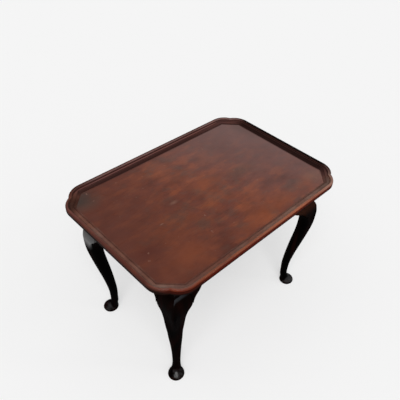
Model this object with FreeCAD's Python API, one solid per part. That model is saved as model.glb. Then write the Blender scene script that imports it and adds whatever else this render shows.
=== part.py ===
"""Tray top tea table: a moulded tray on a railed frame with four cabriole legs, in millimetres.

X runs along the long side, Y from front to back and Z up. The origin is on the floor, under the
middle of the tray.
"""

import FreeCAD, Part
import math
import os

from FreeCAD import Vector

# Whole table
TRAY_LENGTH = 714.0
TRAY_DEPTH = 496.0
TABLE_HEIGHT = 507.0

# Tray panel and moulded rim
TRAY_RECESS = 11.0
PANEL_THICKNESS = 13.0
RIM_WIDTH = 28.5
RIM_REBATE = 5.0
RIM_FIT = 0.1
BEAD_RADIUS = 5.5
LEDGE_WIDTH = 9.0
COVE_TOE = 0.8
COVE_BELLY_SHARES = (0.43, 0.735)
PANEL_EDGE_INSET = 1.5
PANEL_EDGE_FLAT = 3.0
PANEL_EDGE_BEVEL = 6.0

# Cusped corners of the tray: two lobes that meet at a point turned inward, round a straight cut field
LOBE_RADIUS = 57.5
LOBE_SPACING_SHARE = 0.43
CUSP_RIM_WIDTH = 27.4
MITRE_OVERRUN_DEGREES = 4.0

# Frame under the tray
END_OVERHANG = 69.0
SIDE_OVERHANG = 62.0
POST_WIDTH = 46.0
RAIL_DEPTH = 80.0
RAIL_THICKNESS = 20.0
TENON_THICKNESS = 8.0
TENON_SHOULDER = 8.0
TENON_CLEARANCE = 0.2
MORTISE_SPARE = 1.0

# Cabriole legs, measured from the outer corner of the post
FOOT_DIAMETER = 50.0
FOOT_SETBACK = 13.5
ANKLE_DIAMETER = 24.6
ANKLE_HEIGHT = 56.0
ANKLE_SETBACK = 24.8
KNEE_DROP = 59.0
KNEE_REACH = 25.0
KNEE_WIDTH = 50.6
POST_DROP = 32.0

# Foot to ankle: height, setback from foot to ankle, width from ankle to foot
FOOT_SHARES = (
    (0.00, 0.00, 0.87),
    (0.03, 0.00, 0.96),
    (0.09, 0.00, 1.00),
    (0.16, 0.03, 0.92),
    (0.23, 0.12, 0.72),
    (0.31, 0.32, 0.44),
    (0.44, 0.64, 0.17),
    (0.63, 0.90, 0.04),
)

# Roundness of the outer, side and inner corners where a leg is turned round
ROUND_SHARES = (0.97, 0.97, 0.97)

# Ankle to knee: height, lean outward, swell of the width, roundness of the corners
LEG_SHARES = (
    (0.00, 0.000, 0.000, ROUND_SHARES),
    (0.12, 0.005, 0.080, ROUND_SHARES),
    (0.26, 0.135, 0.215, ROUND_SHARES),
    (0.42, 0.370, 0.400, ROUND_SHARES),
    (0.58, 0.655, 0.590, ROUND_SHARES),
    (0.74, 0.925, 0.755, ROUND_SHARES),
    (0.87, 1.060, 0.885, (0.80, 0.74, 0.95)),
    (1.00, 1.000, 1.000, (0.47, 0.35, 0.92)),
)

# Knee to rail: height, outer face as reach, inner face from knee to post, roundness of the corners
KNEE_SHARES = (
    (0.20, 0.995, 0.22, (0.42, 0.20, 0.72)),
    (0.31, 0.97, 0.56, (0.37, 0.10, 0.45)),
    (0.42, 0.935, 0.86, (0.33, 0.06, 0.25)),
    (0.53, 0.885, 0.97, (0.29, 0.05, 0.15)),
    (0.65, 0.81, 0.98, (0.25, 0.05, 0.10)),
    (0.77, 0.69, 0.98, (0.21, 0.05, 0.08)),
    (0.87, 0.52, 0.98, (0.17, 0.05, 0.06)),
    (0.95, 0.28, 0.98, (0.12, 0.05, 0.06)),
    (1.00, 0.03, 0.98, (0.06, 0.05, 0.06)),
)

# Shaped knee blocks beside each leg: distance from the post, drop below the rail, bulge as reach
EAR_LENGTH = 48.0
EAR_SHARES = (
    (0.00, 1.00, 0.94),
    (0.22, 0.66, 0.74),
    (0.54, 0.46, 0.58),
    (0.80, 0.31, 0.42),
    (1.00, 0.14, 0.22),
)
EAR_BULGE_SHARES = (0.76, 0.33)

# Notched corner blocks inside the frame
BLOCK_REACH = 50.0
BLOCK_NOSE = 8.0
BLOCK_HEIGHT = 44.0
BLOCK_DROP = 18.0
BLOCK_SCREW_SHARE = 0.5
BLOCK_SCREW_SEAT = 16.0
BLOCK_SCREW_BITE = 14.0
POCKET_CLEARANCE = 1.0

# Wooden buttons that hold the tray to the rails
GROOVE_DROP = 10.5
GROOVE_WIDTH = 6.0
GROOVE_DEPTH = 7.0
TONGUE_CLEARANCE = 0.4
BUTTON_LENGTH = 36.0
BUTTON_WIDTH = 28.0
BUTTON_THICKNESS = 19.0
BUTTON_GAP = 0.5
BUTTON_HOLE_SHARE = 0.5
SIDE_BUTTON_SPACING = 130.0
END_BUTTON_SPACING = 90.0
TOP_SCREW_BITE = 8.0

# Countersunk wood screws
SCREW_DIAMETER = 4.0
SCREW_HEAD_DIAMETER = 8.0
SCREW_HEAD_HEIGHT = 2.6
SCREW_POINT = 4.0
SLOT_WIDTH = 1.1
SLOT_DEPTH = 1.2
HOLE_CLEARANCE = 0.2
CUT_OVERRUN = 1.0

# Levels and places that follow from the sizes above
HALF_LENGTH = TRAY_LENGTH / 2
HALF_DEPTH = TRAY_DEPTH / 2
FIELD_LEVEL = TABLE_HEIGHT - TRAY_RECESS
SEAT_LEVEL = FIELD_LEVEL - RIM_REBATE
UNDERSIDE = FIELD_LEVEL - PANEL_THICKNESS
RIM_HEIGHT = TRAY_RECESS + RIM_REBATE
LEDGE_LEVEL = RIM_HEIGHT - BEAD_RADIUS
TOE_LEVEL = RIM_REBATE + COVE_TOE
BEAD_END = BEAD_RADIUS * 2
LEDGE_END = BEAD_END + LEDGE_WIDTH
LOBE_SPACING = LOBE_SPACING_SHARE * LOBE_RADIUS
CORNER_CUT = LOBE_SPACING + LOBE_RADIUS
RAIL_LEVEL = UNDERSIDE - RAIL_DEPTH
KNEE_LEVEL = RAIL_LEVEL - KNEE_DROP
POST_X = HALF_LENGTH - END_OVERHANG
POST_Y = HALF_DEPTH - SIDE_OVERHANG

# A tenon ends in line with the other rail's inner face, short of that rail's mortise
TENON_LENGTH = POST_WIDTH - RAIL_THICKNESS

ORIGIN = Vector(0, 0, 0)
X_AXIS = Vector(1, 0, 0)
Y_AXIS = Vector(0, 1, 0)
Z_AXIS = Vector(0, 0, 1)
DIAGONAL = (X_AXIS + Y_AXIS).normalize()
CROSSWISE = (X_AXIS - Y_AXIS).normalize()
QUARTERS = ((1, 1), (-1, 1), (-1, -1), (1, -1))
CORNERS = {
    "front_left": (-1, -1),
    "front_right": (1, -1),
    "back_left": (-1, 1),
    "back_right": (1, 1),
}


def line(start, end):
    return Part.LineSegment(start, end).toShape()


def arc(start, middle, end):
    return Part.Arc(start, middle, end).toShape()


def polygon_face(points):
    return Part.Face(Part.makePolygon(list(points) + [points[0]]))


def block(low, high):
    """Box between two opposite corners."""
    size = high - low
    return Part.makeBox(size.x, size.y, size.z, low)


def single(shape):
    """The one solid of a finished piece, with its split faces joined."""
    return shape.removeSplitter().Solids[0]


def mirrored(shape, side_x, side_y):
    """A piece of the back right corner, carried over to another corner."""
    result = shape.copy()
    if side_x < 0:
        result = result.mirror(ORIGIN, X_AXIS)
    if side_y < 0:
        result = result.mirror(ORIGIN, Y_AXIS)
    return result


def across_diagonal(shape):
    """A piece beside the back right leg, carried from the side rail over to the end rail."""
    corner = Vector(POST_X, POST_Y, 0)
    return shape.mirror(corner, CROSSWISE)


def between(low, high, share):
    return low + (high - low) * share


# Tray outline

def side_lobe_centre():
    return Vector(HALF_LENGTH - CORNER_CUT, HALF_DEPTH - LOBE_RADIUS, 0)


def end_lobe_centre():
    return Vector(HALF_LENGTH - LOBE_RADIUS, HALF_DEPTH - CORNER_CUT, 0)


def cusp(offset):
    """Point where the two lobes of the back right corner meet, on an outline moved in by offset."""
    radius = LOBE_RADIUS - offset
    middle = (side_lobe_centre() + end_lobe_centre()) / 2
    rise = math.sqrt(radius ** 2 - LOBE_SPACING ** 2 / 2)
    return middle + DIAGONAL * rise


def cusp_toe():
    """Foot of the cove behind the cusp, on the straight cut across the back right corner."""
    return cusp(0) - DIAGONAL * CUSP_RIM_WIDTH


def bend(centre, start, end):
    """Start, middle and end of the arc about a centre."""
    radius = (start - centre).Length
    direction = (start - centre) + (end - centre)
    return start, centre + direction.normalize() * radius, end


def corner_points(offset):
    """Points of the back right corner, from the end round to the back, moved in by offset."""
    radius = LOBE_RADIUS - offset
    end_start = end_lobe_centre() + X_AXIS * radius
    side_end = side_lobe_centre() + Y_AXIS * radius
    end_lobe = bend(end_lobe_centre(), end_start, cusp(offset))
    side_lobe = bend(side_lobe_centre(), cusp(offset), side_end)
    return end_lobe + side_lobe[1:]


def round_the_tray(points, height):
    """Points of the back right corner at a height, then those of the other corners in turn."""
    runs = []
    for side_x, side_y in QUARTERS:
        run = [Vector(p.x * side_x, p.y * side_y, height) for p in points]
        if side_x * side_y < 0:
            run.reverse()
        runs.append(run)
    return runs


def tray_outline(offset, height):
    """Closed outline of the tray at a height, moved in from the rim's outer face by offset."""
    runs = round_the_tray(corner_points(offset), height)
    edges = []
    for index, points in enumerate(runs):
        following = runs[(index + 1) % len(runs)]
        edges.append(arc(*points[:3]))
        edges.append(arc(*points[2:]))
        edges.append(line(points[-1], following[0]))
    return Part.Wire(edges)


def field_face(offset, height):
    """The tray's field at a height, with its corners cut straight, moved in from the rim by offset."""
    edge_x = HALF_LENGTH - RIM_WIDTH - offset
    edge_y = HALF_DEPTH - RIM_WIDTH - offset
    toe = cusp_toe() - DIAGONAL * offset
    reach = toe.x + toe.y
    cut = [Vector(edge_x, reach - edge_x, 0), Vector(reach - edge_y, edge_y, 0)]
    return polygon_face([point for run in round_the_tray(cut, height) for point in run])


def tray_panel():
    """The board: a raised field inside a rebate for the rim, with its edge bevelled underneath."""
    edge_level = SEAT_LEVEL - PANEL_EDGE_FLAT
    seat = Part.Face(tray_outline(PANEL_EDGE_INSET, edge_level)).extrude(Z_AXIS * PANEL_EDGE_FLAT)
    bevel_outlines = [
        tray_outline(PANEL_EDGE_INSET + PANEL_EDGE_BEVEL, UNDERSIDE),
        tray_outline(PANEL_EDGE_INSET, edge_level),
    ]
    bevel = Part.makeLoft(bevel_outlines, True, True)
    field = field_face(RIM_FIT, SEAT_LEVEL).extrude(Z_AXIS * RIM_REBATE)
    panel = seat.fuse([bevel, field])
    holes = [screw_hole(top_screw_length(), place) for place in top_screw_places()]
    return single(panel.cut(holes))


# Moulded rim

def section_frame(start, inward):
    """Places points of the rim's section: across from its outer foot, and up."""

    def at(across, up):
        return start + inward * across + Z_AXIS * up

    return at


def bead_edges(at):
    """Outer face and bead of the rim's section."""
    return [
        line(at(0, 0), at(0, LEDGE_LEVEL)),
        arc(at(0, LEDGE_LEVEL), at(BEAD_RADIUS, RIM_HEIGHT), at(BEAD_END, LEDGE_LEVEL)),
    ]


def cove_edge(at):
    """Hollow of the rim's section, from the ledge down to the toe."""
    belly_across = between(LEDGE_END, RIM_WIDTH, COVE_BELLY_SHARES[0])
    belly_level = between(LEDGE_LEVEL, TOE_LEVEL, COVE_BELLY_SHARES[1])
    return arc(at(LEDGE_END, LEDGE_LEVEL), at(belly_across, belly_level), at(RIM_WIDTH, TOE_LEVEL))


def rim_section(at):
    """Face of the rim's moulding: bead, quirk, ledge and cove, from its outer foot inward."""
    edges = bead_edges(at) + [
        line(at(BEAD_END, LEDGE_LEVEL), at(LEDGE_END, LEDGE_LEVEL)),
        cove_edge(at),
        line(at(RIM_WIDTH, TOE_LEVEL), at(RIM_WIDTH, 0)),
        line(at(RIM_WIDTH, 0), at(0, 0)),
    ]
    return Part.Face(Part.Wire(edges))


def lobe_section(at):
    """Face of a lobe before its cove is cut: bead, quirk, and a ledge as far as the lobe's centre."""
    edges = bead_edges(at) + [
        line(at(BEAD_END, LEDGE_LEVEL), at(LOBE_RADIUS, LEDGE_LEVEL)),
        line(at(LOBE_RADIUS, LEDGE_LEVEL), at(LOBE_RADIUS, 0)),
        line(at(LOBE_RADIUS, 0), at(0, 0)),
    ]
    return Part.Face(Part.Wire(edges))


def hollow_section(at):
    """Face of the space over the cove and inside its toe."""
    far = CORNER_CUT * 2
    edges = [
        cove_edge(at),
        line(at(RIM_WIDTH, TOE_LEVEL), at(RIM_WIDTH, -CUT_OVERRUN)),
        line(at(RIM_WIDTH, -CUT_OVERRUN), at(far, -CUT_OVERRUN)),
        line(at(far, -CUT_OVERRUN), at(far, RIM_HEIGHT)),
        line(at(far, RIM_HEIGHT), at(LEDGE_END, RIM_HEIGHT)),
        line(at(LEDGE_END, RIM_HEIGHT), at(LEDGE_END, LEDGE_LEVEL)),
    ]
    return Part.Face(Part.Wire(edges))


def rim_side():
    """Straight moulding along the back."""
    start = Vector(CORNER_CUT - HALF_LENGTH, HALF_DEPTH, SEAT_LEVEL)
    return rim_section(section_frame(start, -Y_AXIS)).extrude(X_AXIS * (TRAY_LENGTH - CORNER_CUT * 2))


def rim_end():
    """Straight moulding along the right end."""
    start = Vector(HALF_LENGTH, CORNER_CUT - HALF_DEPTH, SEAT_LEVEL)
    return rim_section(section_frame(start, -X_AXIS)).extrude(Y_AXIS * (TRAY_DEPTH - CORNER_CUT * 2))


def corner_hollow():
    """Space inside the back right corner's coves: along the back and straight across the corner."""
    back_start = side_lobe_centre() + Y_AXIS * LOBE_RADIUS + Z_AXIS * SEAT_LEVEL - X_AXIS * CUT_OVERRUN
    back = hollow_section(section_frame(back_start, -Y_AXIS)).extrude(X_AXIS * CORNER_CUT)
    cut_start = cusp_toe() + DIAGONAL * RIM_WIDTH + Z_AXIS * SEAT_LEVEL - CROSSWISE * CORNER_CUT
    cut = hollow_section(section_frame(cut_start, -DIAGONAL)).extrude(CROSSWISE * (CORNER_CUT * 2))
    return back.common(cut)


def rim_lobe():
    """Turned moulding beside the back rim, mitred at the cusp, its cove cut straight across the corner."""
    centre = side_lobe_centre()
    start = Vector(centre.x, HALF_DEPTH, SEAT_LEVEL)
    tip = cusp_toe() - centre
    sweep = math.degrees(math.atan2(tip.x, tip.y)) + MITRE_OVERRUN_DEGREES
    turned = lobe_section(section_frame(start, -Y_AXIS)).revolve(centre, Z_AXIS, -sweep)
    corner = Vector(HALF_LENGTH, HALF_DEPTH, SEAT_LEVEL)
    far = LOBE_RADIUS + CORNER_CUT
    mitre = polygon_face([corner, corner - (X_AXIS + Y_AXIS) * far, corner - Y_AXIS * far])
    return single(turned.cut([mitre.extrude(Z_AXIS * RIM_HEIGHT), corner_hollow()]))


def end_rim_lobe():
    """The same turned moulding beside the right end."""
    corner = Vector(HALF_LENGTH, HALF_DEPTH, 0)
    return rim_lobe().mirror(corner, CROSSWISE)


# Cabriole legs

def leg_section(height, outer, inner, rounds):
    """Rounded square across a leg at a height, between its outer and inner faces."""
    outer_round, side_round, inner_round = rounds
    half = (outer - inner) / 2
    low = Vector(POST_X + inner, POST_Y + inner, height)
    high = Vector(POST_X + outer, POST_Y + outer, height)
    corners = (
        (Vector(low.x, low.y, height), -Y_AXIS, X_AXIS, inner_round),
        (Vector(high.x, low.y, height), X_AXIS, Y_AXIS, side_round),
        (Vector(high.x, high.y, height), Y_AXIS, -X_AXIS, outer_round),
        (Vector(low.x, high.y, height), -X_AXIS, -Y_AXIS, side_round),
    )
    arcs = []
    for corner, arriving, leaving, share in corners:
        radius = half * share
        centre = corner + (leaving - arriving) * radius
        arcs.append(bend(centre, corner - arriving * radius, corner + leaving * radius))
    edges = []
    for index, current in enumerate(arcs):
        following = arcs[(index + 1) % len(arcs)]
        edges.append(line(current[2], following[0]))
        edges.append(arc(*following))
    return Part.Wire(edges)


def leg_stations():
    """Height, outer face, inner face and roundness of each section, from the floor to the rail."""
    ankle_radius = ANKLE_DIAMETER / 2
    foot_radius = FOOT_DIAMETER / 2
    knee_centre = KNEE_REACH - KNEE_WIDTH / 2
    knee_inner = KNEE_REACH - KNEE_WIDTH
    stations = []
    for height, setback, width in FOOT_SHARES:
        centre = -between(FOOT_SETBACK, ANKLE_SETBACK, setback)
        radius = between(ankle_radius, foot_radius, width)
        stations.append((ANKLE_HEIGHT * height, centre + radius, centre - radius, ROUND_SHARES))
    for height, lean, swell, rounds in LEG_SHARES:
        level = between(ANKLE_HEIGHT, KNEE_LEVEL, height)
        centre = between(-ANKLE_SETBACK, knee_centre, lean)
        half = between(ankle_radius, KNEE_WIDTH / 2, swell)
        stations.append((level, centre + half, centre - half, rounds))
    for height, reach, inner, rounds in KNEE_SHARES:
        level = between(KNEE_LEVEL, RAIL_LEVEL, height)
        stations.append((level, KNEE_REACH * reach, between(knee_inner, -POST_WIDTH, inner), rounds))
    return stations


def leg():
    """Back right leg: turned pad foot, ankle and knee in one sweep, under a mortised square post."""
    curve = Part.makeLoft([leg_section(*station) for station in leg_stations()], True)
    post_low = Vector(POST_X - POST_WIDTH, POST_Y - POST_WIDTH, RAIL_LEVEL - POST_DROP)
    post = block(post_low, Vector(POST_X, POST_Y, UNDERSIDE))
    mortise = rail_mortise()
    return single(curve.fuse(post).cut([mortise, across_diagonal(mortise)]))


def ear():
    """Knee block under the back rail, from the back right leg inward, swelling with the knee."""
    sections = []
    for along, drop, bulge in EAR_SHARES:
        x = POST_X - POST_WIDTH - EAR_LENGTH * along
        depth = POST_DROP * drop
        reach = KNEE_REACH * bulge
        rear_top = Vector(x, POST_Y - RAIL_THICKNESS, RAIL_LEVEL)
        face_top = Vector(x, POST_Y, RAIL_LEVEL)
        belly = face_top + Y_AXIS * (reach * EAR_BULGE_SHARES[0]) - Z_AXIS * (depth * EAR_BULGE_SHARES[1])
        lip = face_top + Y_AXIS * reach - Z_AXIS * depth
        rear_foot = rear_top - Z_AXIS * depth
        edges = [
            line(rear_top, face_top),
            arc(face_top, belly, lip),
            line(lip, rear_foot),
            line(rear_foot, rear_top),
        ]
        sections.append(Part.Wire(edges))
    return Part.makeLoft(sections, True)


# Rails with their tenons

def tenon(clearance, spare):
    """Tenon of the back rail in the back right post, or its mortise with clearance and spare depth."""
    middle = POST_Y - RAIL_THICKNESS / 2
    half = TENON_THICKNESS / 2 + clearance
    shoulder = POST_X - POST_WIDTH
    low = Vector(shoulder, middle - half, RAIL_LEVEL + TENON_SHOULDER - clearance)
    high = Vector(shoulder + TENON_LENGTH + spare, middle + half, UNDERSIDE - TENON_SHOULDER + clearance)
    return block(low, high)


def rail_mortise():
    return tenon(TENON_CLEARANCE, MORTISE_SPARE)


def rail(half_length):
    """Rail from the back right post inward: tenoned at both ends, grooved inside for the buttons."""
    shoulder = POST_X - POST_WIDTH
    far_shoulder = shoulder - half_length * 2
    middle = Vector(shoulder - half_length, 0, 0)
    inside = POST_Y - RAIL_THICKNESS
    board = block(Vector(far_shoulder, inside, RAIL_LEVEL), Vector(shoulder, POST_Y, UNDERSIDE))
    groove_top = UNDERSIDE - GROOVE_DROP
    groove_low = Vector(far_shoulder - CUT_OVERRUN, inside - CUT_OVERRUN, groove_top - GROOVE_WIDTH)
    groove = block(groove_low, Vector(shoulder + CUT_OVERRUN, inside + GROOVE_DEPTH, groove_top))
    hole = screw_hole(block_screw_length(), block_screw_place())
    tongue = tenon(0, 0)
    board = board.cut([groove, hole, hole.mirror(middle, X_AXIS)])
    return single(board.fuse([tongue, tongue.mirror(middle, X_AXIS)]))


def side_rail():
    """Rail along the back."""
    return rail(POST_X - POST_WIDTH)


def end_rail():
    """Rail along the right end."""
    return across_diagonal(rail(POST_Y - POST_WIDTH))


# Screws

def screw_body(length, clearance):
    """Countersunk screw pointing up from its head, grown by a clearance for its hole."""
    shank = (SCREW_DIAMETER + clearance) / 2
    head = (SCREW_HEAD_DIAMETER + clearance) / 2
    points = [
        Vector(0, 0, 0),
        Vector(head, 0, 0),
        Vector(shank, 0, SCREW_HEAD_HEIGHT),
        Vector(shank, 0, length - SCREW_POINT),
        Vector(0, 0, length + clearance),
    ]
    return polygon_face(points).revolve(ORIGIN, Z_AXIS, math.degrees(math.tau))


def set_at(shape, place):
    """Carries a screw to its place: the middle of its head and its direction."""
    point, direction = place
    shape.Placement = FreeCAD.Placement(point, FreeCAD.Rotation(Z_AXIS, direction))
    return shape


def screw(length, place):
    """Wood screw with a slotted head."""
    half = SLOT_WIDTH / 2
    head = SCREW_HEAD_DIAMETER / 2 + CUT_OVERRUN
    slot = block(Vector(-head, -half, -CUT_OVERRUN), Vector(head, half, SLOT_DEPTH))
    return set_at(single(screw_body(length, 0).cut(slot)), place)


def screw_hole(length, place):
    return set_at(screw_body(length, HOLE_CLEARANCE), place)


# Buttons

def button_places():
    """Place on a rail's inner face and turn from the back rail, for each button by name."""
    places = {}
    inside_y = POST_Y - RAIL_THICKNESS
    inside_x = POST_X - RAIL_THICKNESS
    for end, x in (("left", -SIDE_BUTTON_SPACING), ("middle", 0), ("right", SIDE_BUTTON_SPACING)):
        places["button_back_" + end] = (Vector(x, inside_y, UNDERSIDE), 0)
        places["button_front_" + end] = (Vector(x, -inside_y, UNDERSIDE), math.pi)
    for end, y in (("front", -END_BUTTON_SPACING / 2), ("back", END_BUTTON_SPACING / 2)):
        places["button_right_" + end] = (Vector(inside_x, y, UNDERSIDE), -math.pi / 2)
        places["button_left_" + end] = (Vector(-inside_x, y, UNDERSIDE), math.pi / 2)
    return places


def button(point, turn):
    """Wooden button: its tongue lies in the rail's groove, its body under the tray."""
    tongue_top = -GROOVE_DROP
    tongue_foot = tongue_top - GROOVE_WIDTH + TONGUE_CLEARANCE
    rear = -BUTTON_LENGTH - BUTTON_GAP
    half = BUTTON_WIDTH / 2
    body = block(Vector(-half, rear, -BUTTON_THICKNESS), Vector(half, -BUTTON_GAP, 0))
    tongue = block(Vector(-half, -BUTTON_GAP, tongue_foot),
                   Vector(half, GROOVE_DEPTH - TONGUE_CLEARANCE, tongue_top))
    hole = screw_hole(top_screw_length(), (button_screw_seat(), Z_AXIS))
    result = single(body.fuse(tongue).cut(hole))
    result.rotate(ORIGIN, Z_AXIS, math.degrees(turn))
    result.translate(point)
    return result


def button_screw_seat():
    """Middle of the screw's head on a button's underside, from the rail's inner face."""
    return Vector(0, -BUTTON_GAP - BUTTON_LENGTH * BUTTON_HOLE_SHARE, -BUTTON_THICKNESS)


def top_screw_length():
    return BUTTON_THICKNESS + TOP_SCREW_BITE


def top_screw_places():
    places = []
    for point, turn in button_places().values():
        seat = FreeCAD.Rotation(Z_AXIS, math.degrees(turn)).multVec(button_screw_seat())
        places.append((point + seat, Z_AXIS))
    return places


# Corner blocks

def block_screw_length():
    return BLOCK_SCREW_SEAT + BLOCK_SCREW_BITE


def block_screw_place():
    """Head of the screw that goes through the back right block into the back rail."""
    x = POST_X - POST_WIDTH - BLOCK_REACH * BLOCK_SCREW_SHARE
    y = POST_Y - RAIL_THICKNESS - BLOCK_SCREW_SEAT
    z = UNDERSIDE - BLOCK_DROP - BLOCK_HEIGHT / 2
    return Vector(x, y, z), Y_AXIS


def corner_block():
    """Block notched round the back right post and glued to both rails, with pockets for its screws."""
    tip = POST_WIDTH + BLOCK_REACH
    nose = RAIL_THICKNESS + BLOCK_NOSE
    foot = Vector(POST_X, POST_Y, UNDERSIDE - BLOCK_DROP - BLOCK_HEIGHT)
    outline = (
        (POST_WIDTH, RAIL_THICKNESS),
        (tip, RAIL_THICKNESS),
        (tip, nose),
        (nose, tip),
        (RAIL_THICKNESS, tip),
        (RAIL_THICKNESS, POST_WIDTH),
        (POST_WIDTH, POST_WIDTH),
    )
    body = polygon_face([foot - Vector(x, y, 0) for x, y in outline]).extrude(Z_AXIS * BLOCK_HEIGHT)
    place = block_screw_place()
    pocket_radius = (SCREW_HEAD_DIAMETER + POCKET_CLEARANCE) / 2
    pocket = Part.makeCylinder(pocket_radius, BLOCK_REACH, place[0], -place[1])
    hole = screw_hole(block_screw_length(), place)
    cuts = [pocket, hole, across_diagonal(pocket), across_diagonal(hole)]
    return single(body.cut(cuts))


def nodes():
    """Every piece of the table by name."""
    pieces = {"tray_panel": tray_panel()}
    pieces["rim_back"] = rim_side()
    pieces["rim_front"] = mirrored(rim_side(), 1, -1)
    pieces["rim_right"] = rim_end()
    pieces["rim_left"] = mirrored(rim_end(), -1, 1)
    pieces["rail_back"] = side_rail()
    pieces["rail_front"] = mirrored(side_rail(), 1, -1)
    pieces["rail_right"] = end_rail()
    pieces["rail_left"] = mirrored(end_rail(), -1, 1)
    corner_pieces = {
        "leg_{}": leg(),
        "rim_corner_{}_side": rim_lobe(),
        "rim_corner_{}_end": end_rim_lobe(),
        "knee_block_{}_side": ear(),
        "knee_block_{}_end": across_diagonal(ear()),
        "corner_block_{}": corner_block(),
    }
    block_screw = screw(block_screw_length(), block_screw_place())
    block_screws = []
    for corner, sides in CORNERS.items():
        for name, piece in corner_pieces.items():
            pieces[name.format(corner)] = mirrored(piece, *sides)
        block_screws.append(mirrored(block_screw, *sides))
        block_screws.append(mirrored(across_diagonal(block_screw), *sides))
    for name, place in button_places().items():
        pieces[name] = button(*place)
    pieces["top_screws"] = Part.makeCompound([screw(top_screw_length(), p) for p in top_screw_places()])
    pieces["corner_block_screws"] = Part.makeCompound(block_screws)
    return pieces


os.makedirs("parts", exist_ok=True)
for node, shape in nodes().items():
    shape.exportStep("parts/" + node + ".step")
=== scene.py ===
"""Looks of a tray top tea table: polished mahogany, ebonised legs, and the studio it stands in.

Lengths are in metres, in the table's own frame: X along the long side, Y from front to back, Z up.
"""

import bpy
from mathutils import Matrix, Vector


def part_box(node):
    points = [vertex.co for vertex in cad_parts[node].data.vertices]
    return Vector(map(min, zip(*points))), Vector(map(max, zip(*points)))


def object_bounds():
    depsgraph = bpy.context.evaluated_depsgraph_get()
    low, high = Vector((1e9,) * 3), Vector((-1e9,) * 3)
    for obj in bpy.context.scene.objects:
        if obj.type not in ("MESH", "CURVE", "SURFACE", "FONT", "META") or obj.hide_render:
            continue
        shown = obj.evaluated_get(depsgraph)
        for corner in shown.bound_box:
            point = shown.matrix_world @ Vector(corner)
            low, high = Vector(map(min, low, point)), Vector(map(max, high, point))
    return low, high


bl_info = {
    "name": "Tray Top Tea Table",
    "version": (1, 0, 0),
    "blender": (4, 5, 0),
    "location": "View3D > Sidebar > Tea Table",
    "description": "Finishes every piece of a tray top tea table and sets the studio round it",
    "category": "Object",
}

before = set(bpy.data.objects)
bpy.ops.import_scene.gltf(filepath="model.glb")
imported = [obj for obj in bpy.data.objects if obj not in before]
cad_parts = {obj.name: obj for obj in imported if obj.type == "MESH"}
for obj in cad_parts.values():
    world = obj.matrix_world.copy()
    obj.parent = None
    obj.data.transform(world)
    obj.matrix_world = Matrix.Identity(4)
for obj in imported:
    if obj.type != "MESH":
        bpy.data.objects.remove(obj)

import math

import bmesh
import bpy
from bpy.props import FloatProperty, FloatVectorProperty, PointerProperty
from mathutils import Vector

CAD_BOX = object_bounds()
CORNERS = ("front_left", "front_right", "back_left", "back_right")

# Sizes read from the frame
HALF_LENGTH = CAD_BOX[1].x
HALF_DEPTH = CAD_BOX[1].y
RIM_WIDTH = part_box("rim_front")[1].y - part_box("rim_front")[0].y
CORNER_CUT = HALF_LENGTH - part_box("rim_front")[1].x
FIELD_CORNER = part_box("rim_corner_back_right_side")[0].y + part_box("rim_corner_back_right_end")[0].x
FIELD_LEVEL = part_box("tray_panel")[1].z
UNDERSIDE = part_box("tray_panel")[0].z
FRAME_INSIDE_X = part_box("corner_block_back_right")[1].x
FRAME_INSIDE_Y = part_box("corner_block_back_right")[1].y
FRAME_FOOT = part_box("rail_front")[0].z
KNEE_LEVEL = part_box("knee_block_front_left_side")[1].z

# Slack in a test of which side of a face a point lies on
SLACK = 0.0005

# Layers of the old polish: pattern, its values from and to, strength and finish
POLISH = (
    ("Bands", 0.30, 0.70, 0.35, "wine"),
    ("Patches", 0.48, 0.68, 0.80, "amber"),
    ("Patches", 0.46, 0.30, 0.60, "wine"),
    ("Clouds", 0.50, 0.72, 0.60, "dull"),
    ("Figure", 0.50, 0.70, 0.45, "amber"),
    ("Figure", 0.50, 0.30, 0.45, "dull"),
    ("Mottle", 0.50, 0.68, 0.40, "rubbed"),
    ("Mottle", 0.50, 0.32, 0.24, "dirt_and_shade"),
    ("Streaks", 0.45, 0.75, 0.22, "wine"),
)
# Marks on the board: place and reach along X and Y, finish and strength
MARKS = (
    ((-0.215, -0.165), (0.130, 0.075), "amber", 0.55),
    ((0.060, -0.190), (0.220, 0.050), "amber", 0.50),
    ((0.285, -0.175), (0.060, 0.045), "pale", 0.35),
    ((0.020, 0.020), (0.110, 0.060), "amber", 0.35),
    ((-0.285, -0.085), (0.060, 0.050), "wine", 0.65),
    ((-0.300, 0.165), (0.080, 0.045), "dull", 0.45),
    ((0.135, -0.010), (0.090, 0.040), "dull", 0.45),
    ((-0.115, 0.015), (0.026, 0.012), "pale", 0.40),
    ((-0.195, -0.030), (0.010, 0.004), "pale", 0.50),
    # Painted shade on the board beside the far rims
    ((-0.305, 0.190), (0.080, 0.062), "far_rim_shade", 0.85),
    ((0.320, 0.150), (0.045, 0.110), "far_rim_shade", 0.25),
    ((0.240, -0.180), (0.090, 0.050), "rubbed", 0.25),
)
# Where the board turns from painted shade to brown and from brown to painted sheen, along X, and how much of
# Y is added
LEFT_SHADE_RUN = (-0.20, 0.16)
RIGHT_SHEEN_RUN = (0.02, 0.50)
RIGHT_SHEEN_LEAN = 0.5
# Width of the painted shade on the board along the foot of the far rim
TOE_SHADE_WIDTH = 0.007

# Where the finish turns, by the sum of a point's shares of half the length and half the depth
NEAR_TO_FAR = (-0.2, 0.2)
NEAR_CORNER = (-1.5, -1.2)
FAR_CORNER = (1.2, 1.5)
FAR_TOE = (0.0, 0.4)
LEFT_LOBES = (-0.12, 0.12)
# Where the turned corners begin, by the sum of the sizes of those shares, and the left and right ones, by
# their difference
TURNED_CORNERS = (1.62, 1.75)
SIDE_CORNERS = (1.52, 1.68)
# Where the rim's finish changes along X
RIM_RUNS = {
    "crowned": (-0.28, -0.18),
    "rubbed": (-0.25, 0.20),
    "glossy": (-0.15, 0.12),
    "outer_slope": (-0.10, 0.12),
    "halfway": (-0.10, 0.10),
    "bloomed": (0.05, 0.25),
    "swept": (0.12, 0.28),
    "chalky": (0.19, 0.28),
    "shade_at_end": (0.30, 0.335),
}
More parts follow.
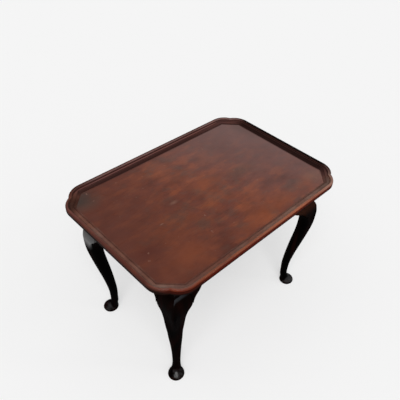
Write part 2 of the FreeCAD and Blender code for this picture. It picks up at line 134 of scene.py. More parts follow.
# Where it changes along Y: in from the front edge, along the left side, and out from the middle
FRONT_STRIP = (0.025, 0.055)
LEFT_SIDE = (-0.08, 0.16)
SHADE_AT_END_REACH = (0.16, 0.21)
# Bands across the bead in bead radii, as a width or as a middle and a reach
BEAD_SLOPE = 0.6
BEAD_CROWN = (1.85, 0.9)
BEAD_SHOULDER = (1.74, 0.8)
# How far the tone of the ledge spreads over the bead, at the far and at the near sides, and its soft edge
BEAD_DRIFT = (-0.001, 0.0045)
BEAD_EDGE = (-0.0005, 0.0010)
# Reach of the painted shade in the quirk, in bead radii, at the far and at the near sides, and along the
# cove's edge
QUIRK_REACH = (0.6, 0.3)
COVE_LINE = 0.0014
# Painted shade on the outer face: its top above the field, away from the front and along it, and its soft
# edge
FACE_SHADE = (0.001, -0.004)
FACE_SHADE_EDGE = 0.005
# Distance out from the field over which the painted shade of the right end grows
SHADE_AT_END_RISE = (0.012, 0.020)
# Share of the moulding's own tones over the board's
RIM_COVER = 0.75

# Where a leg's finish changes in height, from the top of its knee
KNEE_BANDS = {
    "glossy": (-0.090, -0.050),
    "rubbed": (-0.050, 0.0),
    "worn": (-0.035, -0.005),
    # Band of painted sheen on the shelf over the knee
    "knee_shelf_sheen": (-0.020, -0.004),
    "apron": (0.0, SLACK),
}
# Heights between which the polish of the feet ends
FOOT_TOP = (0.02, 0.04)

# Shine of the wood under its polish
BARE_SHINE = 0.004
# How far the grain wanders off its line, and how long its bands and its pores are drawn out
GRAIN_WANDER = (0.0, 0.035, 0.035)
BANDS_DRAWN = 0.045
PORES_DRAWN = 0.06
# Depth of the pores against the waves of the surface, and the height of both
PORE_DEPTH = 0.3
RELIEF = 0.001
# Turns that lay a board's grain along an axis
GRAIN_TURNS = {"x": (0, 0, 0), "y": (0, 0, math.radians(90)), "z": (0, math.radians(90), 0)}
# Soft lamps: degrees from +X towards +Y, degrees above the floor, strength, and spread in degrees
LAMPS = {
    "key_light": (225.0, 51.0, 1.60, 38.0),
    "knee_light": (-52.0, 34.0, 0.10, 8.0),
}
# Cosines of the angle to the brightest side between which the soft light grows
LIGHT_TURN = (0.0, 0.8)


def paint(code):
    """Colour with full alpha from six hexadecimal digits, as a screen shows it."""
    shares = [int(code[i:i + 2], 16) / 255 for i in (0, 2, 4)]
    linear = [s / 12.92 if s <= 0.04045 else ((s + 0.055) / 1.055) ** 2.4 for s in shares]
    return (*linear, 1.0)


def colour_property(name, description, code):
    return FloatVectorProperty(name=name, description=description, subtype="COLOR", size=4,
                               min=0.0, max=1.0, default=paint(code))


def length_property(name, description, default):
    return FloatProperty(name=name, description=description, unit="LENGTH", min=0.0, default=default)


def share_property(name, description, default):
    return FloatProperty(name=name, description=description, subtype="FACTOR",
                         min=0.0, max=1.0, default=default)


class TrayFinish(bpy.types.PropertyGroup):
    """Colours and sizes of the polished tray and its rim"""

    # Painted shade that darkens the left end of the board
    left_shade: colour_property("Shaded", "Dark left end of the board", "562D22")
    brown: colour_property("Brown", "Middle tone of the mahogany", "703F33")
    # Painted sheen that greys the right end and the back of the board
    right_sheen: colour_property("Faded", "Bleached right end of the board", "6F5653")
    amber: colour_property("Amber", "Warm patches where the polish has worn thin", "82452C")
    wine: colour_property("Wine", "Dark red patches", "50261E")
    dull: colour_property("Dull", "Greyed patches of old wax", "5C473E")
    # Painted shade on the board beside the far rims, at the back left corner and the right end
    far_rim_shade: colour_property("Murk", "Grey dirt left in the corners of the board", "38322E")
    pale: colour_property("Pale", "Scuffs and specks", "8E6A5A")
    rubbed: colour_property("Rubbed", "Bare wood on the bead along the front", "9E5636")
    dusky: colour_property("Dusky", "Bead and ledge where fewer hands reach", "54302A")
    # Painted sheen on the ledge along the near sides
    ledge_sheen: colour_property("Waxed", "Old wax on the ledge along the near sides", "7C5A4C")
    # Grey bloom in the wax, with painted sheen, on the ledge and on the right end of the front bead
    bloom_and_sheen: colour_property("Bloom", "Grey bloom in the wax on the ledge", "8C7A70")
    # Painted highlight on the crown of the bead along the back
    crown_highlight: colour_property("Greyed", "Bead along the back", "8A6E6C")
    ledge: colour_property("Ledge", "Ledge along the back", "6A4845")
    maroon: colour_property("Maroon", "Outer face of the rim", "561A0E")
    # Dirt in the pores and mottling, and also the colour of painted shade in the rim's hollows, along the
    # foot of the rims, on the outer face and on the panel's edges
    dirt_and_shade: colour_property("Grime", "Old wax and dirt in the hollows", "1C100D")
    # Painted shade that makes the right end of the rim nearly black
    end_shade_tone: colour_property("Soot", "Darkest wood, at the right end of the rim", "0B0605")
    bare: colour_property("Bare", "Unpolished wood underneath", "76543B")
    lobe_radius: length_property("Lobe radius", "Radius of the turned corners, at the outside", 0.0575)
    bead_radius: length_property("Bead radius", "Radius of the bead along the rim", 0.0055)
    ledge_width: length_property("Ledge width", "Flat between the bead and the cove", 0.009)
    band_width: length_property("Band width", "Spacing of the broad bands in the grain", 0.030)
    streak_width: length_property("Streak width", "Spacing of the fine streaks in the grain", 0.0035)
    gloss: share_property("Gloss", "Strength of the polish on the board", 0.24)
    rim_gloss: share_property("Rim gloss", "Strength of the polish on the bead", 0.60)


class LegFinish(bpy.types.PropertyGroup):
    """Colours and sizes of the ebonised legs, knee blocks and rails"""

    black: colour_property("Black", "Ebonised surface", "030202")
    glow: colour_property("Glow", "Red wood that shows through the black", "170605")
    scuffed: colour_property("Scuffed", "Rubbed wood low on the feet and on the knees", "3A2118")
    # Painted sheen: grey on the shelf over each knee
    dust: colour_property("Dust", "Dust on the shelf over each knee", "45474B")
    bare: colour_property("Bare", "Unpolished wood inside the frame", "6B4A34")
    scuff_height: length_property("Scuff height", "Height that shoes reach on the feet", 0.022)
    band_width: length_property("Band width", "Spacing of the broad bands in the grain", 0.020)
    streak_width: length_property("Streak width", "Spacing of the fine streaks in the grain", 0.003)
    gloss: share_property("Gloss", "Strength of the polish left on feet and knees", 0.90)
    satin: share_property("Satin", "Strength of the polish left on rails and posts", 0.20)


class FrameFinish(bpy.types.PropertyGroup):
    """Colours and sizes of the blocks, buttons and screws inside the frame"""

    pale: colour_property("Pale", "Light bands of the beech", "B48E66")
    tan: colour_property("Tan", "Dark bands of the beech", "936C47")
    steel: colour_property("Steel", "Bright parts of the screws", "8C867E")
    rust: colour_property("Rust", "Tarnish on the screws, and dirt on the beech", "4B3527")
    band_width: length_property("Band width", "Spacing of the broad bands in the beech", 0.012)
    streak_width: length_property("Streak width", "Spacing of the fine streaks in the beech", 0.0016)


class StudioSettings(bpy.types.PropertyGroup):
    """Floor, light and camera"""

    floor: colour_property("Floor", "Pale studio floor", "FAFAFA")
    floor_bounce: colour_property("Floor bounce", "Floor as it lights the table from below", "9A9A9A")
    floor_size: length_property("Floor size", "Width of the floor", 80.0)
    shadow: share_property("Shadow", "How strongly the floor takes the table's shadow", 0.50)
    bright_side: FloatProperty(name="Bright side", description="Soft light from the bright side",
                               min=0.0, default=0.92)
    dark_side: FloatProperty(name="Dark side", description="Soft light from the other side",
                             min=0.0, default=0.08)
    light_from: FloatVectorProperty(name="Light from", description="Where the soft light is brightest",
                                    subtype="DIRECTION", default=(-0.45, -0.45, 0.77))
    camera_place: FloatVectorProperty(name="Camera place", description="Where the camera stands",
                                      subtype="TRANSLATION", unit="LENGTH",
                                      default=(-0.7445, -0.7307, 1.3658))
    camera_turn: FloatVectorProperty(name="Camera turn", description="Tilt, roll and heading",
                                     subtype="EULER", unit="ROTATION",
                                     default=tuple(map(math.radians, (49.178, -2.862, -45.021))))
    lens: FloatProperty(name="Lens", description="Focal length in millimetres", min=1.0, default=41.434)
    shift: FloatVectorProperty(name="Shift", description="How far the frame is moved on the picture",
                               size=2, default=(-0.0452, -0.0100))


# Sockets of a Mix node that hold colours
MIX_COLOURS = (6, 7)
MIX_RESULT = 2


class Wiring:
    """Adds shader nodes to a tree and joins them up."""

    def __init__(self, tree):
        self.tree = tree

    def feed(self, socket, value):
        if isinstance(value, bpy.types.NodeSocket):
            self.tree.links.new(value, socket)
        else:
            socket.default_value = value

    def node(self, kind, inputs=None, **settings):
        made = self.tree.nodes.new("ShaderNode" + kind)
        for name, value in settings.items():
            setattr(made, name, value)
        for socket, value in (inputs or {}).items():
            self.feed(made.inputs[socket], value)
        return made

    def math(self, operation, *values):
        return self.node("Math", dict(enumerate(values)), operation=operation).outputs[0]

    def times(self, first, *others):
        """Product of masks and numbers."""
        for other in others:
            first = self.math("MULTIPLY", first, other)
        return first

    def most(self, first, *others):
        """Largest of masks and numbers."""
        for other in others:
            first = self.math("MAXIMUM", first, other)
        return first

    def rest(self, share):
        """What a share leaves of the whole."""
        return self.math("SUBTRACT", 1.0, share)

    def vector(self, operation, *values):
        return self.node("VectorMath", dict(enumerate(values)), operation=operation).outputs[0]

    def length(self, value):
        """Length of a vector as seen from above."""
        flat = self.vector("MULTIPLY", value, (1.0, 1.0, 0.0))
        return self.node("VectorMath", {0: flat}, operation="LENGTH").outputs["Value"]

    def drawn(self, place, share):
        """Coordinates drawn out along X, for a long thin pattern."""
        return self.vector("MULTIPLY", place, (share, 1.0, 1.0))

    def noise(self, place, scale, detail=2.0, roughness=0.5):
        inputs = {"Vector": place, "Scale": scale, "Detail": detail, "Roughness": roughness}
        return self.node("TexNoise", inputs).outputs[0]

    def fade(self, value, low, high, start=0.0, end=1.0):
        """Smooth change from start to end as the value goes from low to high."""
        inputs = {"Value": value, "From Min": low, "From Max": high, "To Min": start, "To Max": end}
        return self.node("MapRange", inputs, interpolation_type="SMOOTHSTEP").outputs[0]

    def blend(self, share, start, end):
        """Smooth change from start to end as a share goes from none to all."""
        return self.fade(share, 0.0, 1.0, start, end)

    def near(self, value, middle, reach):
        """Mask of the values within reach of a middle, with soft ends."""
        away = self.math("ABSOLUTE", self.math("SUBTRACT", value, middle))
        return self.fade(away, 0.0, reach, 1.0, 0.0)

    def mix(self, share, first, second):
        made = self.node("Mix", {0: share}, data_type="RGBA")
        for index, value in zip(MIX_COLOURS, (first, second)):
            self.feed(made.inputs[index], value)
        return made.outputs[MIX_RESULT]

    def split(self, value):
        return self.node("SeparateXYZ", {0: value}).outputs

    def group(self, tree, inputs):
        made = self.node("Group", node_tree=tree)
        for socket, value in inputs.items():
            self.feed(made.inputs[socket], value)
        return made.outputs


def new_group(name, inputs, outputs):
    """Empty node group, with the sockets of its two ends."""
    tree = bpy.data.node_groups.new(name, "ShaderNodeTree")
    for socket, kind in inputs.items():
        tree.interface.new_socket(socket, in_out="INPUT", socket_type="NodeSocket" + kind)
    for socket, kind in outputs.items():
        tree.interface.new_socket(socket, in_out="OUTPUT", socket_type="NodeSocket" + kind)
    enter = tree.nodes.new("NodeGroupInput")
    leave = tree.nodes.new("NodeGroupOutput")
    return tree, Wiring(tree), enter.outputs, leave.inputs


def built_once(name, build):
    return bpy.data.node_groups.get(name) or build(name)


def board_grain(name):
    """Bands, streaks and pores of a board whose grain runs along X."""
    tree, w, enter, leave = new_group(
        name,
        {"Vector": "Vector", "Band width": "Float", "Streak width": "Float"},
        {"Bands": "Float", "Streaks": "Float", "Pores": "Float"},
    )
    wander = w.node("TexNoise", {"Vector": enter["Vector"], "Scale": 2.3}).outputs[1]
    wander = w.vector("SUBTRACT", wander, (0.5, 0.5, 0.5))
    place = w.vector("MULTIPLY_ADD", wander, GRAIN_WANDER, enter["Vector"])
    drawn = w.drawn(place, BANDS_DRAWN)
    bands = w.noise(drawn, w.math("DIVIDE", 1.0, enter["Band width"]), detail=3.0, roughness=0.55)
    streaks = w.noise(drawn, w.math("DIVIDE", 1.0, enter["Streak width"]), detail=5.0, roughness=0.65)
    pores = w.noise(w.drawn(place, PORES_DRAWN), scale=850.0, detail=1.0)
    w.feed(leave["Bands"], bands)
    w.feed(leave["Streaks"], streaks)
    w.feed(leave["Pores"], w.fade(pores, 0.60, 0.72))
    return tree


def edge_distance(name):
    """How far a point lies in from the lobed outline of the tray, and from the field with its cut corners."""
    tree, w, enter, leave = new_group(name, {"Vector": "Vector", "Lobe radius": "Float"},
                                      {"Inset": "Float", "From field": "Float"})
    place = w.vector("ABSOLUTE", enter["Vector"])
    radius = enter["Lobe radius"]
    far = w.node("CombineXYZ", {0: w.math("SUBTRACT", HALF_LENGTH, radius),
                                1: w.math("SUBTRACT", HALF_DEPTH, radius)}).outputs[0]
    lengths = []
    for axis in (0, 1):
        back = w.node("CombineXYZ", {axis: w.math("SUBTRACT", radius, CORNER_CUT)}).outputs[0]
        centre = w.vector("ADD", far, back)
        beyond = w.vector("MAXIMUM", w.vector("SUBTRACT", place, centre), (0.0, 0.0, 0.0))
        lengths.append(w.length(beyond))
    w.feed(leave["Inset"], w.math("SUBTRACT", radius, w.math("MINIMUM", *lengths)))
    x, y = w.split(place)[:2]
    past_sides = w.most(w.math("SUBTRACT", x, HALF_LENGTH - RIM_WIDTH),
                        w.math("SUBTRACT", y, HALF_DEPTH - RIM_WIDTH))
    past_corner = w.times(w.math("SUBTRACT", w.math("ADD", x, y), FIELD_CORNER), math.sqrt(0.5))
    w.feed(leave["From field"], w.most(past_sides, past_corner))
    return tree


def hand_wear(name):
    """Soft patches, clouds, mottled figure, fine scratches, specks and dust of a surface in use for years."""
    outputs = ("Patches", "Clouds", "Figure", "Mottle", "Scratches", "Specks", "Dust")
    tree, w, enter, leave = new_group(name, {"Vector": "Vector"}, dict.fromkeys(outputs, "Float"))
    place = enter["Vector"]
    w.feed(leave["Patches"], w.noise(place, scale=7.0, detail=3.0, roughness=0.55))
    beside = w.vector("ADD", place, (3.1, 1.7, 0.4))
    w.feed(leave["Clouds"], w.noise(beside, scale=16.0, detail=5.0, roughness=0.6))
    w.feed(leave["Figure"], w.noise(w.drawn(place, 0.6), scale=42.0, detail=4.0, roughness=0.6))
    beside = w.vector("MULTIPLY_ADD", place, (0.5, 1.0, 1.0), (1.3, 4.2, 2.6))
    w.feed(leave["Mottle"], w.noise(beside, scale=30.0, detail=4.0, roughness=0.52))
    across = w.node("VectorRotate", {"Vector": place, "Angle": math.radians(63.0)},
                    rotation_type="Z_AXIS").outputs[0]
    lengthwise = w.fade(w.noise(w.drawn(place, 0.08), scale=420.0, detail=0.0), 0.74, 0.80)
    crosswise = w.fade(w.noise(w.drawn(across, 0.06), scale=380.0, detail=0.0), 0.76, 0.82)
    w.feed(leave["Scratches"], w.most(lengthwise, crosswise))
    w.feed(leave["Specks"], w.fade(w.noise(place, scale=75.0), 0.71, 0.80))
    w.feed(leave["Dust"], w.fade(w.noise(place, scale=160.0, detail=6.0, roughness=0.7), 0.45, 0.75))
    return tree


def emptied(block):
    """Wiring of a material or a world whose own nodes are cleared away."""
    block.use_nodes = True
    block.node_tree.nodes.clear()
    return Wiring(block.node_tree)


def new_material(name, **constants):
    """Material with a Principled shader, and the object's own coordinates and normal."""
    material = bpy.data.materials.new(name)
    w = emptied(material)
    shader = w.node("BsdfPrincipled", constants)
    w.node("OutputMaterial", {"Surface": shader.outputs["BSDF"]})
    place = w.node("TexCoord")
    return material, w, shader.inputs, place.outputs["Object"], place.outputs["Normal"]


def grain_of(w, place, axis, finish):
    """Grain that runs along an axis of the table."""
    turned = w.node("Mapping", {"Vector": place, "Rotation": GRAIN_TURNS[axis]}).outputs[0]
    inputs = {"Vector": turned, "Band width": finish.band_width, "Streak width": finish.streak_width}
    return w.group(built_once("Board grain", board_grain), inputs)


def edges_of(w, place, finish):
    tree = built_once("Distance from the edge", edge_distance)
    return w.group(tree, {"Vector": place, "Lobe radius": finish.lobe_radius})


def wear_of(w, place):
    return w.group(built_once("Hand wear", hand_wear), {"Vector": place})


def shares_of(w, place):
    """A point's shares of half the table's length and half its depth."""
    x, y = w.split(place)[:2]
    return w.math("DIVIDE", x, HALF_LENGTH), w.math("DIVIDE", y, HALF_DEPTH)


def bump(w, height, strength, distance):
    return w.node("Bump", {"Height": height, "Strength": strength, "Distance": distance}).outputs[0]


def polished_relief(w, place, grain, scale, strength):
    """Slight waves and open pores of a polished surface."""
    height = w.math("SUBTRACT", w.noise(place, scale), w.times(grain["Pores"], PORE_DEPTH))
    return bump(w, height, strength, RELIEF)


def polished_board(w, grain, wear, finish):
    """Mahogany under old polish: warm, dark and dull patches over a quiet grain."""
    patterns = {**dict(grain.items()), **dict(wear.items())}
    board = finish.brown
    for pattern, low, high, strength, tone in POLISH:
        board = w.mix(w.fade(patterns[pattern], low, high, 0.0, strength), board, getattr(finish, tone))
    return w.mix(w.times(grain["Pores"], 0.30), board, finish.dirt_and_shade)


def marked_board(w, place, wear, board, finish):
    """Board with its ragged marks and its specks."""
    for middle, reach, tone, strength in MARKS:
        away = w.vector("DIVIDE", w.vector("SUBTRACT", place, (*middle, 0.0)), (*reach, 1.0))
        ragged = w.math("MULTIPLY_ADD", wear["Clouds"], 0.9, w.length(away))
        board = w.mix(w.fade(ragged, 0.45, 1.35, strength, 0.0), board, getattr(finish, tone))
    return w.mix(w.times(wear["Specks"], 0.5), board, finish.pale)


def bare_wood(w, grain, light, dark):
    """Unpolished wood, darker along its streaks."""
    return w.mix(w.fade(grain["Streaks"], 0.35, 0.7), light, dark)


def tray_mahogany(finish):
    """Polished board: painted shade at its left end, painted sheen at its right end and back, marked, with
    painted shade along the foot of the far rims and on its edges, and bare underneath.
    """
    material, w, shader, place, normal = new_material(
        "tray_mahogany", **{"Specular IOR Level": BARE_SHINE, "Coat Roughness": 0.30})
    grain = grain_of(w, place, "x", finish)
    wear = wear_of(w, place)
    x, y, z = w.split(place)
    upward = w.split(normal)[2]

    board = polished_board(w, grain, wear, finish)
    # Painted shade over the left end, then painted sheen over the right end and the back
    ragged = w.math("MULTIPLY_ADD", wear["Patches"], 0.20, x)
    board = w.mix(w.fade(ragged, *LEFT_SHADE_RUN, 0.75, 0.0), board, finish.left_shade)
    leaning = w.math("MULTIPLY_ADD", y, RIGHT_SHEEN_LEAN, ragged)
    board = w.mix(w.fade(leaning, *RIGHT_SHEEN_RUN, 0.0, 0.85), board, finish.right_sheen)
    board = marked_board(w, place, wear, board, finish)

    from_field = edges_of(w, place, finish)["From field"]
    # Painted shade on the board along the foot of the far rims, in dark red and near black
    far_side = w.fade(w.math("ADD", *shares_of(w, place)), *FAR_TOE, 0.0, 0.88)
    toe_shade = w.times(w.fade(from_field, -TOE_SHADE_WIDTH, 0.0), far_side)
    board = w.mix(toe_shade, board, finish.wine)
    board = w.mix(w.times(toe_shade, 0.85), board, finish.dirt_and_shade)
    # Painted shade on the panel's edges, which face sideways under the rim
    board = w.mix(w.fade(upward, 0.3, 0.6, 1.0, 0.0), board, finish.dirt_and_shade)

    below = w.times(w.fade(upward, -0.3, 0.1, 1.0, 0.0), w.math("LESS_THAN", z, UNDERSIDE + SLACK))
    raw = bare_wood(w, grain, finish.bare, finish.brown)
    w.feed(shader["Base Color"], w.mix(below, board, raw))
    polish = w.times(w.fade(upward, 0.5, 0.9, 0.0, finish.gloss),
                     w.fade(wear["Clouds"], 0.35, 0.65, 1.15, 0.85),
                     w.rest(w.times(wear["Scratches"], 0.5)))
    w.feed(shader["Coat Weight"], polish)
    worn = w.fade(wear["Patches"], 0.3, 0.7, 0.40, 0.55)
    w.feed(shader["Roughness"], w.most(worn, w.times(below, 0.85)))
    w.feed(shader["Normal"], polished_relief(w, place, grain, scale=30.0, strength=0.12))
    return material


class RimPlaces:
    """Masks of the sides, corners and mouldings of the rim, for its finish to follow."""

    def __init__(self, w, place, normal, finish):
        self.w = w
        self.x, self.y, self.z = w.split(place)
        self.upward = w.split(normal)[2]
        edges = edges_of(w, place, finish)
        self.inset, self.from_field = edges["Inset"], edges["From field"]

        # Sides and corners
        along, back = shares_of(w, place)
        self.across = w.math("ADD", along, back)
        self.apart = w.math("ABSOLUTE", w.math("SUBTRACT", along, back))
        out = w.math("ADD", w.math("ABSOLUTE", along), w.math("ABSOLUTE", back))
        from_front = w.math("ADD", self.y, HALF_DEPTH)
        self.front = w.fade(from_front, *FRONT_STRIP, 1.0, 0.0)
        self.near_side = w.fade(self.across, *NEAR_TO_FAR, 1.0, 0.0)
        corners = w.fade(out, *TURNED_CORNERS)
        self.near_corner = w.times(corners, w.fade(self.across, *NEAR_CORNER, 1.0, 0.0))
        self.far_corner = w.times(corners, w.fade(self.across, *FAR_CORNER))

        # Bead, ledge and cove
        self.bead_radius = finish.bead_radius
        self.bead_end = 2 * finish.bead_radius
        self.cove_end = RIM_WIDTH - self.bead_end - finish.ledge_width
        self.drift = w.blend(self.near_side, *BEAD_DRIFT)
        past_bead = w.math("SUBTRACT", w.math("ADD", self.inset, self.drift), self.bead_end)
        self.on_bead = w.fade(past_bead, *BEAD_EDGE, 1.0, 0.0)

    def run(self, name, start=0.0, end=1.0):
        """Smooth change from start to end over one of the runs along X."""
        return self.w.fade(self.x, *RIM_RUNS[name], start, end)

    def bead_band(self, middle, reach):
        """Mask of a band along the bead, by its middle and reach in bead radii."""
        return self.w.near(self.inset, middle * self.bead_radius, reach * self.bead_radius)


def rim_bead(w, rim, wear, outer, finish):
    """Bead: rubbed bare along the front, dusky along the left, dark with a painted highlight on its crown
    along the back, and with painted shade on its outer edge away from the front.
    """
    handled = w.times(rim.front, rim.run("rubbed", 0.55, 1.0))
    handled = w.most(handled, w.times(rim.near_corner, 0.45))
    handled = w.times(handled, w.fade(wear["Clouds"], 0.35, 0.55, 0.5, 1.0))
    bead = w.mix(w.fade(rim.y, *LEFT_SIDE, 0.0, 0.6), finish.dusky, finish.ledge)
    bead = w.mix(handled, bead, finish.rubbed)
    bead = w.mix(w.times(rim.near_corner, 0.5), bead, finish.maroon)
    # Grey bloom and painted sheen on the right end of the front bead
    bead = w.mix(rim.run("chalky", 0.0, 0.5), bead, finish.bloom_and_sheen)
    # The outer slope of the bead takes the darker tone of the outer face, strongly at the left and hardly at
    # the right, and widest at the near corner
    slope = BEAD_SLOPE * finish.bead_radius
    up_slope = w.math("DIVIDE", rim.inset, w.blend(rim.near_corner, slope, 1.7 * slope))
    bead = w.mix(w.blend(up_slope, rim.run("outer_slope", 0.9, 0.05), 0.0), bead, outer)
    # Painted shade on the outer edge of the bead, away from the front
    lip_shade = w.times(w.fade(rim.inset, 0.0, finish.bead_radius, 0.5, 0.0), w.rest(rim.front))
    bead = w.mix(lip_shade, bead, finish.dirt_and_shade)
    # Painted highlight along the crown of the back bead, on a dark bead
    crown = w.times(rim.bead_band(*BEAD_CROWN), w.fade(wear["Clouds"], 0.35, 0.60, 0.6, 1.0),
                    rim.run("crowned", 0.5, 1.0))
    back_bead = w.mix(crown, finish.dirt_and_shade, finish.crown_highlight)
    return w.mix(rim.near_side, back_bead, bead)


def rim_ledge(w, rim, wear, finish):
    """Ledge: pale along the near sides with painted sheen, and with grey bloom and painted sheen to the right
    and at the near corner.
    """
    # Painted sheen on the ledge along the near sides
    wax = w.times(rim.near_side,
                  w.blend(rim.front, 0.85, rim.run("rubbed", 0.55, 1.0)),
                  w.fade(rim.from_field, 0.0, 1.6 * rim.cove_end, 0.5, 1.0),
                  w.fade(wear["Figure"], 0.35, 0.60, 0.55, 1.0))
    bloom_and_sheen = w.most(w.fade(wear["Clouds"], 0.45, 0.62, 0.0, 0.45), rim.run("bloomed", 0.0, 0.8),
                   w.times(rim.near_corner, 0.9))
    plain = w.mix(rim.near_side, finish.ledge, finish.dusky)
    return w.mix(wax, plain, w.mix(bloom_and_sheen, finish.ledge_sheen, finish.bloom_and_sheen))


def rim_hollow_shade(w, rim):
    """Mask of the painted shade in the quirk, in the cove and in the pockets of the turned corners, strongest
    along the far sides.
    """
    drawn_out = w.math("ADD", rim.inset, w.math("MINIMUM", rim.drift, 0.0))
    reach = w.blend(rim.near_side, *(radii * rim.bead_radius for radii in QUIRK_REACH))
    quirk = w.most(w.near(drawn_out, rim.bead_end, reach), w.near(rim.from_field, rim.cove_end, COVE_LINE))
    quirk = w.times(quirk, w.blend(rim.near_side, 1.0, w.blend(rim.front, 0.2, 0.0)))
    cove = w.times(w.fade(rim.from_field, 0.75 * rim.cove_end, 1.1 * rim.cove_end, 1.0, 0.0),
                   w.blend(rim.near_side, 0.80, 0.0), rim.run("swept", 1.0, 0.70))
    left_pocket = w.fade(rim.across, *LEFT_LOBES, 0.70, 0.25)
    pocket = w.fade(rim.apart, *SIDE_CORNERS, 0.0, rim.run("halfway", left_pocket, 0.40))
    pocket = w.times(w.most(pocket, w.times(rim.far_corner, 0.6)), w.rest(rim.on_bead))
    return w.most(quirk, cove, pocket)


def rim_face(w, rim, outer, finish):
    """Outer face of the rim, with painted shade along its foot and at the near corner."""
    above_field = w.math("SUBTRACT", rim.z, FIELD_LEVEL)
    above_shade = w.math("SUBTRACT", above_field, w.blend(rim.front, *FACE_SHADE))
    face = w.mix(w.fade(above_shade, 0.0, FACE_SHADE_EDGE), finish.dirt_and_shade, outer)
    return w.mix(w.times(rim.near_corner, 0.6), face, finish.dirt_and_shade)


def rim_end_shade(w, rim):
    """Mask of the painted shade at the right end of the rim, which makes the wood nearly black."""
    return w.times(rim.run("shade_at_end", 0.0, 0.96),
                   w.fade(w.math("ABSOLUTE", rim.y), *SHADE_AT_END_REACH, 1.0, 0.0),
                   w.fade(rim.upward, 0.15, 0.45),
                   w.fade(rim.from_field, *SHADE_AT_END_RISE, 0.82, 1.0))


def rim_gloss(w, rim):
    """Mask of the polish left on top of the bead, along the front and at the near corner."""
    crest = w.blend(rim.near_corner, 0.45, 0.72)
    top = w.fade(w.math("SUBTRACT", rim.upward, crest), 0.0, 0.28)
    glossy = w.times(rim.front, rim.run("glossy", 0.35, 1.0))
    return w.times(rim.on_bead, top, w.most(glossy, rim.near_corner))


def rim_mahogany(finish, axis):
    """Rim moulding: rubbed where hands reach the bead, dark outside, with painted shade along the foot of its
    outer face, in its hollows and at its right end, and painted highlights and sheen on the bead and ledge.
    """
    material, w, shader, place, normal = new_material(
        "rim_mahogany_" + axis, **{"Specular IOR Level": BARE_SHINE, "Coat Roughness": 0.12})
    grain = grain_of(w, place, axis, finish)
    wear = wear_of(w, place)
    rim = RimPlaces(w, place, normal, finish)

    outer = w.mix(rim.front, finish.dusky, finish.maroon)
    bead = rim_bead(w, rim, wear, outer, finish)
    moulded = w.mix(rim.on_bead, rim_ledge(w, rim, wear, finish), bead)
    board = w.mix(RIM_COVER, polished_board(w, grain, wear, finish), moulded)
    # Painted highlight on the inner shoulder of the front bead
    shoulder_highlight = w.times(rim.bead_band(*BEAD_SHOULDER), rim.front, rim.run("rubbed", 0.6, 0.95))
    board = w.mix(shoulder_highlight, board, finish.pale)
    # Painted shade in the quirk, the cove and the pockets of the corners
    board = w.mix(rim_hollow_shade(w, rim), board, finish.dirt_and_shade)
    board = w.mix(w.fade(rim.upward, 0.10, 0.55, 1.0, 0.0), board, rim_face(w, rim, outer, finish))
    # Painted shade over the right end of the rim
    w.feed(shader["Base Color"], w.mix(rim_end_shade(w, rim), board, finish.end_shade_tone))
    w.feed(shader["Coat Weight"], w.times(rim_gloss(w, rim), finish.rim_gloss))
    w.feed(shader["Roughness"], w.fade(wear["Patches"], 0.3, 0.7, 0.28, 0.45))
    w.feed(shader["Normal"], polished_relief(w, place, grain, scale=45.0, strength=0.15))
    return material


def knee_band(w, height, name, start=0.0, end=1.0):
    """Smooth change from start to end over one of the bands of height by the knee."""
    low, high = KNEE_BANDS[name]
    return w.fade(height, KNEE_LEVEL + low, KNEE_LEVEL + high, start, end)


def inside_frame(w, place):
    """Mask of the faces inside the frame, which were never polished."""
    x, y, z = w.split(w.vector("ABSOLUTE", place))
    return w.times(w.math("LESS_THAN", x, FRAME_INSIDE_X + SLACK),
                   w.math("LESS_THAN", y, FRAME_INSIDE_Y + SLACK),
                   w.math("GREATER_THAN", z, FRAME_FOOT + SLACK))


def leg_colour(w, place, normal, grain, wear, scuffs, finish):
    """Black that thins to red along the grain, scuffed low down and rubbed at the knees, with painted sheen
    on the shelf over each knee and, in scuffed brown, on the top of the front right knee.
    """
    x, y, z = w.split(place)
    sideways, upward = w.split(normal)[1:]
    thin = w.times(w.fade(grain["Bands"], 0.4, 0.7), w.fade(wear["Patches"], 0.35, 0.7))
    coat = w.mix(thin, finish.black, finish.glow)
    coat = w.mix(w.times(scuffs, 0.7), coat, finish.scuffed)
    coat = w.mix(knee_band(w, z, "rubbed", 0.0, 0.06), coat, finish.scuffed)
    # Painted sheen on the shelf over each knee
    knee_shelf_sheen = w.times(knee_band(w, z, "knee_shelf_sheen"), w.fade(upward, 0.78, 1.0),
                    w.fade(w.math("ABSOLUTE", sideways), 0.15, 0.50))
    coat = w.mix(knee_shelf_sheen, coat, finish.dust)
    # Painted sheen, in scuffed brown, on the top of the front right knee
    front_right = w.times(w.fade(x, 0.0, 0.1), w.fade(y, -0.1, 0.0, 1.0, 0.0))
    worn = w.times(knee_band(w, z, "worn", 0.0, 0.75), front_right, knee_band(w, z, "apron", 1.0, 0.0))
    return w.mix(worn, coat, finish.scuffed)


def leg_gloss(w, place, normal, wear, inside, finish):
    """Polish left on the feet, on the outward faces of the knees, and as a satin on rails and posts."""
    x, y, z = w.split(place)
    outward = w.times(w.split(normal)[0], w.math("SIGN", x))
    upward = w.split(normal)[2]
    foot = w.times(w.fade(z, *FOOT_TOP, 1.0, 0.0), w.fade(upward, 0.3, 0.6),
                   w.fade(wear["Clouds"], 0.45, 0.60, 0.0, 0.65))
    other_legs = w.most(w.fade(x, -0.1, 0.1, 0.02, 1.0), w.fade(y, -0.1, 0.1, 0.02, 1.0))
    knee = w.times(knee_band(w, z, "glossy"), w.fade(outward, 0.5, 0.9), other_legs,
                   knee_band(w, z, "apron", 1.0, 0.0))
    apron = w.math("SUBTRACT", knee_band(w, z, "apron"), inside)
    return w.most(w.times(w.most(foot, knee), finish.gloss), w.times(apron, finish.satin))


